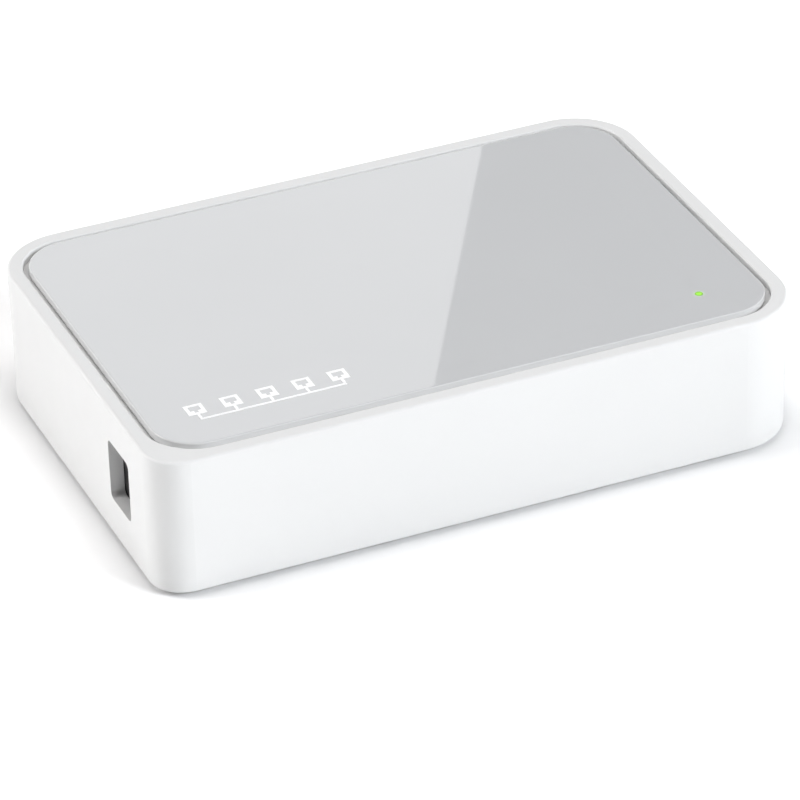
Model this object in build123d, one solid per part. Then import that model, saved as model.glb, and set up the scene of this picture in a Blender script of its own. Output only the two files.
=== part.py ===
from build123d import *
import os

# Desktop network switch with five ports. Millimetres, +Z up.
# The origin is on the resting plane, below the centre of the housing.
# The blank front faces -Y, the ports face +Y and the power inlet faces -X.

# ---- Housing ----
LENGTH = 103.5             # along X, at the top of the walls
DEPTH = 70.0               # along Y, at the top of the walls
BODY_HEIGHT = 22.0         # housing without its feet
FOOT_DROP = 0.8            # the feet stand this far out of the base
CORNER_RADIUS = 10.4       # upright outer corners, apart from the front left one
FRONT_LEFT_RADIUS = 5.4    # the corner beside the power inlet is tighter
DRAFT_ANGLE = 0.25         # degrees; the walls lean in towards the base
WALL = 2.2
TOP_EDGE_RADIUS = 0.45
BOTTOM_EDGE_RADIUS = 0.3
DECK = 1.6                 # thickness of the top cover under the panel
BODY_BOTTOM = FOOT_DROP
BODY_TOP = BODY_BOTTOM + BODY_HEIGHT

# ---- Panel set into the top ----
RIM = 2.33                 # flat rim round the recess
RIM_CORNER = 8.05
RIM_BEVEL = 0.2
PANEL_INSET = 3.26         # from the outside of the wall to the panel's edge
PANEL_CORNER = 7.1
PANEL_THICKNESS = 1.2
PANEL_RISE = 0.19          # the panel stands this far above the rim
PANEL_EDGE_RADIUS = 0.25
ADHESIVE_THICKNESS = 0.2
ADHESIVE_INSET = 1.5       # from the panel's edge
PANEL_TOP = BODY_TOP + PANEL_RISE
PANEL_BOTTOM = PANEL_TOP - PANEL_THICKNESS
RECESS_FLOOR = PANEL_BOTTOM - ADHESIVE_THICKNESS
CEILING = RECESS_FLOOR - DECK

# ---- Base cover ----
BASE_THICKNESS = 1.6
LEDGE = 0.8                # the rebate that the base cover sits in
BASE_GAP = 0.1
BASE_TOP = BODY_BOTTOM + BASE_THICKNESS
FOOT_RADIUS = 4.5
FOOT_X, FOOT_Y = 40.0, 24.0
FOOT_RECESS = 0.5
VENT_COUNT, VENT_PITCH = 13, 4.0
VENT_WIDTH, VENT_LENGTH, VENT_Y = 1.8, 14.0, 9.0
LABEL_LENGTH, LABEL_DEPTH, LABEL_Y = 52.0, 22.0, -13.0
LABEL_THICKNESS, LABEL_RECESS = 0.12, 0.15

# ---- Snap hooks: (x, y, turn about Z so that the hook faces the wall behind -Y) ----
HOOK_HEIGHT, HOOK_THICKNESS, HOOK_BARB = 5.6, 1.2, 0.5
CATCH_DEPTH, CATCH_HEIGHT, CATCH_BOTTOM = 0.6, 1.0, 6.0
HOOK_WIDTH = 4.0
HOOK_SIDE_X = LENGTH / 2 - WALL
HOOK_SIDE_Y = DEPTH / 2 - WALL
HOOKS = [(-26, -HOOK_SIDE_Y, 0), (26, -HOOK_SIDE_Y, 0),
         (-39, HOOK_SIDE_Y, 180), (39, HOOK_SIDE_Y, 180),
         (-HOOK_SIDE_X, 13, -90), (HOOK_SIDE_X, 13, 90), (HOOK_SIDE_X, -14, 90)]

# ---- Circuit board ----
BOARD_BOTTOM = 4.0
BOARD_THICKNESS = 1.6
BOARD_LENGTH, BOARD_FRONT, BOARD_BACK, BOARD_CORNER = 92.0, -28.4, 30.6, 3.0
BOARD_TOP = BOARD_BOTTOM + BOARD_THICKNESS
SOLDER_DROP = 1.0          # leads stand this far out below the board
SCREW_X, SCREW_Y = 41.0, 6.0
SCREW_RADIUS, SCREW_LENGTH = 1.1, 6.0
SCREW_HEAD_RADIUS, SCREW_HEAD_HEIGHT = 2.2, 1.2
BOSS_RADIUS = 2.7
POST_RADIUS, POST_X, POST_Y = 1.5, 42.5, 22.5

# ---- Port block: one moulding with five sockets in a row ----
PORT_COUNT, PORT_PITCH = 5, 13.97
BLOCK_LENGTH, BLOCK_DEPTH, BLOCK_HEIGHT = 72.2, 16.0, 13.3
BLOCK_FACE = DEPTH / 2 - 0.4
BLOCK_BACK = BLOCK_FACE - BLOCK_DEPTH
BLOCK_TOP = BOARD_TOP + BLOCK_HEIGHT
WINDOW_GAP_X, WINDOW_GAP_Z = 0.35, 0.2
SOCKET_WIDTH, SOCKET_DEPTH = 11.85, 13.0
SOCKET_BOTTOM, SOCKET_TOP = BOARD_TOP + 3.9, BOARD_TOP + 10.8
LATCH_WIDTH, LATCH_BOTTOM = 6.4, BOARD_TOP + 2.5
LATCH_TIP_WIDTH, LATCH_TIP_BOTTOM = 4.0, BOARD_TOP + 1.3
SOCKET_BACK = BLOCK_FACE - SOCKET_DEPTH
MOUTH_BEVEL = 0.35
CARRIER_WIDTH, CARRIER_GAP = 10.8, 0.1
SHELF_FRONT = BLOCK_FACE - 4.6
SHELF_BOTTOM, SHELF_TOP = SOCKET_TOP + 0.2, SOCKET_TOP + 1.3
POCKET_TOP, POCKET_FRONT = SOCKET_TOP + 1.8, BLOCK_FACE - 3.8
PEG_X, PEG_Y, PEG_RADIUS = 33.4, 24.5, 1.5
LAMP_WIDTH, LAMP_HEIGHT, LAMP_DEPTH = 2.4, 1.5, 2.9
LAMP_X, LAMP_Z = -4.2, SOCKET_TOP + 1.35

# ---- Contact wires: eight in each socket, bent back over the carrier's shelf ----
WIRE_COUNT, WIRE_PITCH = 8, 1.02
WIRE_WIDTH, WIRE_THICKNESS, WIRE_BEND = 0.36, 0.3, 0.4
HINGE_Y, HINGE_Z = SHELF_FRONT + 0.25, SOCKET_TOP - 0.05
WIRE_REACH = 7.65          # from the bend to the free end, towards the back of the socket
WIRE_DROP = 2.35           # the free end hangs this far below the bend
FIN_WIDTH, FIN_LENGTH, FIN_BOTTOM = 0.26, 2.3, SOCKET_TOP - 2.5
TERMINAL_Y = BLOCK_BACK - 0.25

# ---- Power inlet: a round barrel socket for a 5.5 mm plug ----
INLET_Y = -19.4
INLET_Z = BOARD_TOP + 6.5
INLET_WIDTH, INLET_HEIGHT, INLET_DEPTH = 9.0, 11.0, 14.2
INLET_FACE = -(LENGTH / 2 - WALL) + 0.15
INLET_FLANGE = 3.5
BARREL_RADIUS, BARREL_DEPTH = 3.15, 10.5
PIN_RADIUS, PIN_SETBACK, PIN_TAIL_RADIUS = 1.0, 0.9, 0.7
INLET_WINDOW_WIDTH, INLET_WINDOW_HEIGHT, INLET_WINDOW_CORNER = 8.2, 9.9, 1.0
LEAF_WIDTH, LEAF_THICKNESS = 2.4, 0.3
LEAF_SLOT_WIDTH, LEAF_SLOT_DEPTH = 3.0, 1.3
LEAF_ROOT_Z = INLET_Z - BARREL_RADIUS - 0.45
LEAF_CREST = 0.7           # the crest stands this far into the barrel
LUG_WIDTH, LUG_THICKNESS = 2.2, 0.4

# ---- Power light ----
LIGHT_X, LIGHT_Y = 38.56, -24.37
GUIDE_RADIUS, GUIDE_TIP_RADIUS, GUIDE_GAP = 1.5, 0.6, 0.1
GUIDE_BOTTOM, GUIDE_TUBE_BOTTOM, GUIDE_TUBE_WALL = BOARD_TOP + 2.2, BOARD_TOP + 4.0, 1.0

# ---- Board components ----
LEAD_THICKNESS = 0.2
CHIP_SIZE, CHIP_HEIGHT, CHIP_X, CHIP_Y = 10.0, 1.4, 0.0, -6.0
CHIP_LEADS_A_SIDE, CHIP_LEAD_PITCH, CHIP_LEAD_WIDTH = 16, 0.5, 0.22
COIL_PACK_LENGTH, COIL_PACK_DEPTH, COIL_PACK_HEIGHT, COIL_PACK_Y = 12.7, 7.1, 5.1, 10.6
COIL_PACK_LEADS, COIL_PACK_LEAD_PITCH, COIL_PACK_LEAD_WIDTH = 8, 1.27, 0.42
STANDOFF = 0.15            # moulded packages sit this far above the board
CRYSTAL_LENGTH, CRYSTAL_DEPTH, CRYSTAL_HEIGHT = 11.05, 4.65, 3.5
CRYSTAL_X, CRYSTAL_Y = 15.5, -6.0
CAPACITORS = {"input_capacitor": (-27.0, -21.0, 4.0, 11.5),
              "output_capacitor": (-3.0, -21.5, 3.15, 11.0),
              "core_capacitor": (24.0, -18.0, 3.15, 11.0)}
CAPACITOR_LEAD_SPACING, CAPACITOR_LEAD_RADIUS = 2.5, 0.25
CHOKE_X, CHOKE_Y, CHOKE_RADIUS, CHOKE_HEIGHT = -14.5, -21.5, 4.0, 4.6
CHOKE_HUB_RADIUS, CHOKE_FLANGE = 1.8, 0.8
REGULATOR_LENGTH, REGULATOR_DEPTH, REGULATOR_HEIGHT = 4.9, 3.9, 1.5
REGULATOR_X, REGULATOR_Y, REGULATOR_LEADS = 7.5, -21.5, 4
DIODE_X, DIODE_Y = -29.5, -11.5
FUSE_X, FUSE_Y = -29.5, -5.0
CHIP_PART_LENGTH, CHIP_PART_WIDTH, CHIP_PART_HEIGHT = 1.6, 0.8, 0.5


def around(middle, width):
    """The (low, high) span of a width centred on a value."""
    return (middle - width / 2, middle + width / 2)


def block(x_span, y_span, z_span):
    """A box from its three (low, high) spans."""
    spans = (x_span, y_span, z_span)
    middle = [(low + high) / 2 for low, high in spans]
    size = [high - low for low, high in spans]
    return Pos(*middle) * Box(*size)


def rod(x, y, radius, z_span):
    """An upright cylinder."""
    low, high = z_span
    return Pos(x, y, (low + high) / 2) * Cylinder(radius, high - low)


def cross_rod(radius, x_span):
    """A cylinder along X on the power inlet's axis."""
    low, high = x_span
    return Pos((low + high) / 2, INLET_Y, INLET_Z) * Rot(0, 90, 0) * Cylinder(radius, high - low)


def slab(length, depth, corner, z_span):
    """A plate with rounded corners, centred on the Z axis."""
    low, high = z_span
    return extrude(Pos(0, 0, low) * RectangleRounded(length, depth, corner), amount=high - low)


def bent_strip(points, bend, thickness, width):
    """A flat strip bent along points in the YZ plane, its width along X."""
    path = FilletPolyline(*points, radius=bend)
    return extrude(Plane.YZ * trace(path, thickness), amount=width / 2, both=True)


def group(shapes):
    """Separate solids that share one node."""
    return Compound([shape.solid() for shape in shapes])


def port_centres():
    """X of each socket, port 1 at the left as seen from behind."""
    middle = (PORT_COUNT - 1) / 2
    return [(middle - number) * PORT_PITCH for number in range(PORT_COUNT)]


def wire_offsets():
    """X of each contact wire from its socket's centre."""
    middle = (WIRE_COUNT - 1) / 2
    return [(number - middle) * WIRE_PITCH for number in range(WIRE_COUNT)]


# ---- Housing ----

def case_outline():
    """The outside of the walls from above, with its one tighter corner."""
    outline = Rectangle(LENGTH, DEPTH)
    corners = sorted(outline.vertices(), key=lambda corner: corner.X + corner.Y)
    outline = fillet(corners[1:], CORNER_RADIUS)
    front_left = min(outline.vertices(), key=lambda corner: corner.X + corner.Y)
    return fillet(front_left, FRONT_LEFT_RADIUS)


def top_cover():
    """The upper shell: four walls, the rim, the deck under the panel and what hangs from it."""
    outline = Pos(0, 0, BODY_TOP) * case_outline()
    cover = extrude(outline, amount=BODY_HEIGHT, dir=(0, 0, -1), taper=DRAFT_ANGLE)
    cover = fillet(cover.edges().group_by(Axis.Z)[-1], TOP_EDGE_RADIUS)
    cover = fillet(cover.edges().group_by(Axis.Z)[0], BOTTOM_EDGE_RADIUS)
    recess = (LENGTH - 2 * RIM, DEPTH - 2 * RIM, RIM_CORNER)
    cover -= slab(*recess, (RECESS_FLOOR, PANEL_TOP))
    bevel = Pos(0, 0, BODY_TOP - RIM_BEVEL) * RectangleRounded(*recess)
    cover -= extrude(bevel, amount=2 * RIM_BEVEL, taper=-45)
    cover -= slab(LENGTH - 2 * WALL, DEPTH - 2 * WALL, CORNER_RADIUS - WALL, (0, CEILING))
    rebate = WALL - LEDGE
    cover -= slab(LENGTH - 2 * rebate, DEPTH - 2 * rebate, CORNER_RADIUS - rebate, (0, BASE_TOP))
    cover += [rod(x, SCREW_Y, BOSS_RADIUS, (BOARD_TOP, CEILING)) for x in (-SCREW_X, SCREW_X)]
    bore_top = BOARD_BOTTOM + SCREW_LENGTH + 0.5
    cover -= [rod(x, SCREW_Y, SCREW_RADIUS + 0.05, (BOARD_TOP, bore_top)) for x in (-SCREW_X, SCREW_X)]
    guide_hole = GUIDE_RADIUS + GUIDE_GAP
    cover += rod(LIGHT_X, LIGHT_Y, guide_hole + GUIDE_TUBE_WALL, (GUIDE_TUBE_BOTTOM, CEILING))
    cover -= rod(LIGHT_X, LIGHT_Y, guide_hole, (GUIDE_TUBE_BOTTOM, RECESS_FLOOR))
    cover += [hook_catch(*place) for place in HOOKS]
    return cover - port_window() - inlet_window()


def port_window():
    """The opening in the back wall round the port block."""
    height = BLOCK_HEIGHT + 2 * WINDOW_GAP_Z
    outline = RectangleRounded(BLOCK_LENGTH + 2 * WINDOW_GAP_X, height, 0.5)
    plane = Plane((0, DEPTH / 2 - WALL - 1, BOARD_TOP + BLOCK_HEIGHT / 2), x_dir=(-1, 0, 0), z_dir=(0, 1, 0))
    return extrude(plane * outline, amount=WALL + 2)


def inlet_window():
    """The opening in the left wall in front of the power inlet."""
    outline = RectangleRounded(INLET_WINDOW_WIDTH, INLET_WINDOW_HEIGHT, INLET_WINDOW_CORNER)
    plane = Plane((1 - HOOK_SIDE_X, INLET_Y, INLET_Z), x_dir=(0, -1, 0), z_dir=(-1, 0, 0))
    return extrude(plane * outline, amount=WALL + 2)


def hook_catch(x, y, turn):
    """The rib on the wall that a snap hook grips."""
    rib = block(around(0, HOOK_WIDTH + 1), (-0.2, CATCH_DEPTH), around(0, CATCH_HEIGHT))
    return Pos(x, y, CATCH_BOTTOM + CATCH_HEIGHT / 2) * Rot(0, 0, turn) * rib


def snap_hook(x, y, turn):
    """A springy tongue on the base whose barb grips the rib on the wall."""
    near = CATCH_DEPTH + BASE_GAP
    barb_bottom = CATCH_BOTTOM + CATCH_HEIGHT + BASE_GAP
    top = BASE_TOP + HOOK_HEIGHT
    profile = Polyline((near, BASE_TOP - 0.5), (near, barb_bottom), (near - HOOK_BARB, barb_bottom),
                       (near, top), (near + HOOK_THICKNESS, top),
                       (near + HOOK_THICKNESS, BASE_TOP - 0.5), close=True)
    tongue = extrude(Plane.YZ * make_face(profile), amount=HOOK_WIDTH / 2, both=True)
    return Pos(x, y, 0) * Rot(0, 0, turn) * tongue


def base_cover():
    """The flat base that snaps into the walls from below."""
    inset = WALL - LEDGE + BASE_GAP
    corner = CORNER_RADIUS - inset
    base = slab(LENGTH - 2 * inset, DEPTH - 2 * inset, corner, (BODY_BOTTOM, BASE_TOP))
    base = fillet(base.edges().group_by(Axis.Z)[0], BOTTOM_EDGE_RADIUS)
    base += [snap_hook(*place) for place in HOOKS]
    posts = [(x, y) for x in (-POST_X, POST_X) for y in (-POST_Y, POST_Y)]
    base += [rod(x, y, POST_RADIUS, (BASE_TOP, BOARD_BOTTOM - BASE_GAP)) for x, y in posts]
    recess_top = BODY_BOTTOM + FOOT_RECESS
    base -= [rod(x, y, FOOT_RADIUS + BASE_GAP, (0, recess_top)) for x, y in foot_places().values()]
    label = Pos(0, LABEL_Y, 0) * RectangleRounded(LABEL_LENGTH + 0.6, LABEL_DEPTH + 0.6, 1.5)
    base -= extrude(label, amount=BODY_BOTTOM + LABEL_RECESS)
    slot = Pos(0, VENT_Y, 0) * Rot(0, 0, 90) * SlotOverall(VENT_LENGTH, VENT_WIDTH)
    first = -(VENT_COUNT - 1) / 2 * VENT_PITCH
    return base - [extrude(Pos(first + n * VENT_PITCH, 0, 0) * slot, amount=BASE_TOP + 1)
                   for n in range(VENT_COUNT)]


def foot_places():
    """The name and centre of each rubber foot."""
    rows = {"front": -FOOT_Y, "back": FOOT_Y}
    sides = {"left": -FOOT_X, "right": FOOT_X}
    return {f"foot_{row}_{side}": (x, y) for row, y in rows.items() for side, x in sides.items()}


def foot(x, y):
    """A self-adhesive rubber foot."""
    disc = rod(x, y, FOOT_RADIUS, (0, BODY_BOTTOM + FOOT_RECESS))
    return fillet(disc.edges().group_by(Axis.Z)[0], 0.3)


def rating_label():
    """A plain sticker in its recess under the base."""
    sticker = Pos(0, LABEL_Y, BODY_BOTTOM + LABEL_RECESS) * RectangleRounded(LABEL_LENGTH, LABEL_DEPTH, 1.2)
    return extrude(sticker, amount=-LABEL_THICKNESS)


def top_panel():
    """The glossy panel, with a pinhole for the light guide."""
    size = (LENGTH - 2 * PANEL_INSET, DEPTH - 2 * PANEL_INSET, PANEL_CORNER)
    panel = slab(*size, (PANEL_BOTTOM, PANEL_TOP))
    panel = fillet(panel.edges().group_by(Axis.Z)[-1], PANEL_EDGE_RADIUS)
    return panel - rod(LIGHT_X, LIGHT_Y, GUIDE_TIP_RADIUS + 0.03, (PANEL_BOTTOM, PANEL_TOP))


def panel_adhesive():
    """The adhesive sheet between the panel and the deck."""
    inset = PANEL_INSET + ADHESIVE_INSET
    sheet = slab(LENGTH - 2 * inset, DEPTH - 2 * inset, PANEL_CORNER - ADHESIVE_INSET,
                 (RECESS_FLOOR, PANEL_BOTTOM))
    return sheet - rod(LIGHT_X, LIGHT_Y, GUIDE_RADIUS + 4 * GUIDE_GAP, (RECESS_FLOOR, PANEL_BOTTOM))


def light_guide():
    """The clear rod that carries the power light up to the panel."""
    guide = rod(LIGHT_X, LIGHT_Y, GUIDE_RADIUS, (GUIDE_BOTTOM, PANEL_BOTTOM - 0.05))
    return guide + rod(LIGHT_X, LIGHT_Y, GUIDE_TIP_RADIUS, (PANEL_BOTTOM - 0.05, PANEL_TOP))


# ---- Circuit board ----

def circuit_board():
    """The board with its holes for screws, pegs and leads."""
    depth = BOARD_BACK - BOARD_FRONT
    outline = Pos(0, (BOARD_FRONT + BOARD_BACK) / 2, 0) * RectangleRounded(BOARD_LENGTH, depth, BOARD_CORNER)
    outline -= [Pos(x, SCREW_Y) * Circle(SCREW_RADIUS + 0.15) for x in (-SCREW_X, SCREW_X)]
    outline -= [Pos(x, PEG_Y) * Circle(PEG_RADIUS + 0.1) for x in (-PEG_X, PEG_X)]
    outline -= [Pos(x + offset, TERMINAL_Y) * Circle(0.34) for x in port_centres() for offset in wire_offsets()]
    outline -= [Pos(x, y) * Circle(0.4) for x, y in round_lead_places()]
    outline -= [Pos(x, INLET_Y) * Rectangle(width, LUG_WIDTH + 0.4) for x, width in inlet_lug_slots()]
    return extrude(Pos(0, 0, BOARD_BOTTOM) * outline, amount=BOARD_THICKNESS)


def round_lead_places():
    """Where the leads of the capacitors and the crystal pass through the board."""
    half = CAPACITOR_LEAD_SPACING / 2
    places = [(x + side * half, y) for x, y, radius, height in CAPACITORS.values() for side in (-1, 1)]
    return places + [(CRYSTAL_X + side * CRYSTAL_LENGTH * 0.22, CRYSTAL_Y) for side in (-1, 1)]


def board_screws():
    """Two self-tapping pan-head screws that hold the board up against its bosses."""
    head_span = (BOARD_BOTTOM - SCREW_HEAD_HEIGHT, BOARD_BOTTOM)
    head = fillet(rod(0, 0, SCREW_HEAD_RADIUS, head_span).edges().group_by(Axis.Z)[0], 0.5)
    slot_span = (head_span[0], head_span[0] + 0.7)
    head -= block(around(0, 2.4), around(0, 0.55), slot_span)
    head -= block(around(0, 0.55), around(0, 2.4), slot_span)
    shank_top = BOARD_BOTTOM + SCREW_LENGTH - 1
    screw = head + rod(0, 0, SCREW_RADIUS, (BOARD_BOTTOM, shank_top))
    screw += Pos(0, 0, shank_top + 0.5) * Cone(SCREW_RADIUS, 0.3, 1)
    return group([Pos(x, SCREW_Y, 0) * screw for x in (-SCREW_X, SCREW_X)])


# ---- Port block ----

def port_housing():
    """The black moulding that holds the five sockets."""
    housing = block(around(0, BLOCK_LENGTH), (BLOCK_BACK, BLOCK_FACE), (BOARD_TOP, BLOCK_TOP))
    housing = fillet(housing.edges().filter_by(Axis.Y), 0.3)
    for x in port_centres():
        housing -= Pos(x, 0, 0) * socket_hollow()
    pegs = [rod(x, PEG_Y, PEG_RADIUS, (BOARD_BOTTOM - SOLDER_DROP, BOARD_TOP)) for x in (-PEG_X, PEG_X)]
    return housing + pegs


def socket_hollow():
    """Everything that one socket takes out of the moulding, centred on X = 0."""
    depth = (SOCKET_BACK, BLOCK_FACE)
    hollow = block(around(0, SOCKET_WIDTH), depth, (SOCKET_BOTTOM, SOCKET_TOP))
    hollow += block(around(0, LATCH_WIDTH), depth, (LATCH_BOTTOM, SOCKET_BOTTOM))
    hollow += block(around(0, LATCH_TIP_WIDTH), depth, (LATCH_TIP_BOTTOM, LATCH_BOTTOM))
    pocket = CARRIER_WIDTH + 2 * CARRIER_GAP
    hollow += block(around(0, pocket), (BLOCK_BACK, SOCKET_BACK), (BOARD_TOP, POCKET_TOP))
    hollow += block(around(0, pocket), (SOCKET_BACK, POCKET_FRONT), (SOCKET_TOP, POCKET_TOP))
    middle = (SOCKET_BOTTOM + SOCKET_TOP) / 2
    mouth = Plane((0, BLOCK_FACE - MOUTH_BEVEL, middle), x_dir=(-1, 0, 0), z_dir=(0, 1, 0))
    rim = Rectangle(SOCKET_WIDTH, SOCKET_TOP - SOCKET_BOTTOM)
    hollow += extrude(mouth * rim, amount=MOUTH_BEVEL, taper=-45)
    lamp_depth = (BLOCK_FACE - LAMP_DEPTH - 0.1, BLOCK_FACE)
    return hollow + block(around(LAMP_X, LAMP_WIDTH + 0.1), lamp_depth, around(LAMP_Z, LAMP_HEIGHT + 0.1))


def contact_carrier(x):
    """The insert behind a socket: a back wall, a shelf and the comb between the free wire ends."""
    back_wall = (BLOCK_BACK + CARRIER_GAP, SOCKET_BACK)
    width = around(x, CARRIER_WIDTH)
    carrier = block(width, back_wall, (BOARD_TOP + CARRIER_GAP, SHELF_TOP))
    carrier += block(width, (SOCKET_BACK, SHELF_FRONT), (SHELF_BOTTOM, SHELF_TOP))
    comb_depth = (SOCKET_BACK, SOCKET_BACK + FIN_LENGTH)
    fins = [x + (number - WIRE_COUNT / 2) * WIRE_PITCH for number in range(WIRE_COUNT + 1)]
    return carrier + [block(around(fin, FIN_WIDTH), comb_depth, (FIN_BOTTOM, SHELF_BOTTOM)) for fin in fins]


def port_contacts(x):
    """The eight springy wire ends in a socket, which a plug lifts."""
    free_end = (HINGE_Y - WIRE_REACH, HINGE_Z - WIRE_DROP)
    wire = bent_strip([(HINGE_Y, HINGE_Z), free_end, (free_end[0] - 0.6, free_end[1] + 0.25)],
                      WIRE_BEND, WIRE_THICKNESS, WIRE_WIDTH)
    return group([Pos(x + offset, 0, 0) * wire for offset in wire_offsets()])


def port_terminals():
    """The fixed stretches of the wires: over the shelf, down the back and through the board."""
    over = SHELF_TOP + 0.05 + WIRE_THICKNESS / 2
    points = [(HINGE_Y, SHELF_BOTTOM), (HINGE_Y, over), (TERMINAL_Y, over),
              (TERMINAL_Y, BOARD_BOTTOM - SOLDER_DROP)]
    wire = bent_strip(points, WIRE_BEND, WIRE_THICKNESS, WIRE_WIDTH)
    return group([Pos(x + offset, 0, 0) * wire for x in port_centres() for offset in wire_offsets()])


def port_lamps():
    """The small link light in the face above each socket."""
    depth = (BLOCK_FACE - LAMP_DEPTH, BLOCK_FACE - 0.05)
    lamp = block(around(LAMP_X, LAMP_WIDTH), depth, around(LAMP_Z, LAMP_HEIGHT))
    lamp = fillet(lamp.edges().group_by(Axis.Y)[-1], 0.15)
    return group([Pos(x, 0, 0) * lamp for x in port_centres()])


# ---- Power inlet ----

def inlet_lug_slots():
    """X and width along X of the board slots for the pin's lug and the spring's lug."""
    pin_lug = INLET_FACE + INLET_DEPTH + LUG_THICKNESS / 2
    spring_lug = INLET_FACE + BARREL_DEPTH + LUG_THICKNESS / 2
    return [(pin_lug, LUG_THICKNESS + 0.3), (spring_lug, LUG_THICKNESS + 0.3)]


def inlet_body():
    """The black moulding of the power inlet, square in front and round over the barrel."""
    y_span = around(INLET_Y, INLET_WIDTH)
    back = INLET_FACE + INLET_DEPTH
    flange = block((INLET_FACE, INLET_FACE + INLET_FLANGE), y_span, (BOARD_TOP, BOARD_TOP + INLET_HEIGHT))
    body = flange + block((INLET_FACE, back), y_span, (BOARD_TOP, INLET_Z))
    body += cross_rod(INLET_WIDTH / 2, (INLET_FACE, back))
    barrel_end = INLET_FACE + BARREL_DEPTH
    body -= cross_rod(BARREL_RADIUS, (INLET_FACE, barrel_end))
    body -= cross_rod(PIN_TAIL_RADIUS + 0.05, (barrel_end, back))
    slot_bottom = INLET_Z - BARREL_RADIUS - LEAF_SLOT_DEPTH
    slot_width = around(INLET_Y, LEAF_SLOT_WIDTH)
    body -= block((INLET_FACE + 1.2, barrel_end), slot_width, (slot_bottom, INLET_Z - 1))
    lug_x = (barrel_end, barrel_end + LUG_THICKNESS + 0.1)
    return body - block(lug_x, slot_width, (BOARD_TOP, LEAF_ROOT_Z + 0.5))


def inlet_pin():
    """The centre pin, its riveted tail and its solder lug."""
    barrel_end = INLET_FACE + BARREL_DEPTH
    back = INLET_FACE + INLET_DEPTH
    pin = cross_rod(PIN_RADIUS, (INLET_FACE + PIN_SETBACK, barrel_end))
    pin = fillet(pin.edges().group_by(Axis.X)[0], 0.4)
    pin += cross_rod(PIN_TAIL_RADIUS, (barrel_end, back + LUG_THICKNESS))
    lug_z = (BOARD_BOTTOM - SOLDER_DROP, INLET_Z + 1.2)
    return pin + block((back, back + LUG_THICKNESS), around(INLET_Y, LUG_WIDTH), lug_z)


def inlet_lug():
    """The fixed foot of the sleeve contact, which passes through the board."""
    barrel_end = INLET_FACE + BARREL_DEPTH
    x_span = (barrel_end, barrel_end + LUG_THICKNESS)
    return block(x_span, around(INLET_Y, LUG_WIDTH), (BOARD_BOTTOM - SOLDER_DROP, LEAF_ROOT_Z + 0.3))


def inlet_spring():
    """The sprung leaf that presses on the plug's sleeve."""
    root = INLET_FACE + BARREL_DEPTH - 0.1
    crest_z = INLET_Z - BARREL_RADIUS + LEAF_CREST - LEAF_THICKNESS / 2
    points = [(root, LEAF_ROOT_Z), (root - 1.2, LEAF_ROOT_Z), (root - 5.4, crest_z), (root - 8.0, LEAF_ROOT_Z)]
    leaf = trace(FilletPolyline(*points, radius=1.0), LEAF_THICKNESS)
    return Pos(0, INLET_Y, 0) * extrude(Plane.XZ * leaf, amount=LEAF_WIDTH / 2, both=True)


# ---- Board components ----

def bent_lead(height, reach, width):
    """A gull-wing lead that leaves a package at a height and reaches out along +Y."""
    centre = height - LEAD_THICKNESS / 2
    foot_z = LEAD_THICKNESS / 2
    points = [(0, centre), (reach * 0.45, centre), (reach * 0.6, foot_z), (reach, foot_z)]
    return bent_strip(points, 0.12, LEAD_THICKNESS, width)


def lead_row(lead, count, pitch):
    """A row of leads along X, centred."""
    first = -(count - 1) / 2 * pitch
    return [Pos(first + number * pitch, 0, 0) * lead for number in range(count)]


def package(length, depth, height):
    """A moulded chip package with sloping sides, standing just clear of the board."""
    middle = STANDOFF + (height - STANDOFF) / 2
    face = Pos(0, 0, middle) * Rectangle(length, depth)
    upper = extrude(face, amount=height - middle, taper=6)
    return upper + extrude(face, amount=middle - STANDOFF, dir=(0, 0, -1), taper=6)


def switch_chip():
    """The switch controller's package, with its corner dot."""
    chip = Pos(CHIP_X, CHIP_Y, BOARD_TOP) * package(CHIP_SIZE, CHIP_SIZE, CHIP_HEIGHT)
    corner = CHIP_SIZE / 2 - 1.4
    top = BOARD_TOP + CHIP_HEIGHT
    return chip - rod(CHIP_X - corner, CHIP_Y - corner, 0.5, (top - 0.1, top))


def switch_chip_leads():
    """Sixteen leads on each side of the controller."""
    lead = bent_lead(STANDOFF + (CHIP_HEIGHT - STANDOFF) / 2, 1.0, CHIP_LEAD_WIDTH)
    side = [Pos(0, CHIP_SIZE / 2, 0) * one for one in lead_row(lead, CHIP_LEADS_A_SIDE, CHIP_LEAD_PITCH)]
    place = Pos(CHIP_X, CHIP_Y, BOARD_TOP)
    return group([place * Rot(0, 0, turn) * one for turn in (0, 90, 180, 270) for one in side])


def coil_pack(x):
    """The isolating transformers of one port, in one moulded package."""
    return Pos(x, COIL_PACK_Y, BOARD_TOP) * package(COIL_PACK_LENGTH, COIL_PACK_DEPTH, COIL_PACK_HEIGHT)


def coil_pack_leads():
    """Sixteen leads on each transformer package."""
    height = STANDOFF + (COIL_PACK_HEIGHT - STANDOFF) / 2
    lead = bent_lead(height, 1.2, COIL_PACK_LEAD_WIDTH)
    row = lead_row(lead, COIL_PACK_LEADS, COIL_PACK_LEAD_PITCH)
    side = [Pos(0, COIL_PACK_DEPTH / 2, 0) * one for one in row]
    return group([Pos(x, COIL_PACK_Y, BOARD_TOP) * Rot(0, 0, turn) * one
                  for x in port_centres() for turn in (0, 180) for one in side])


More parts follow.
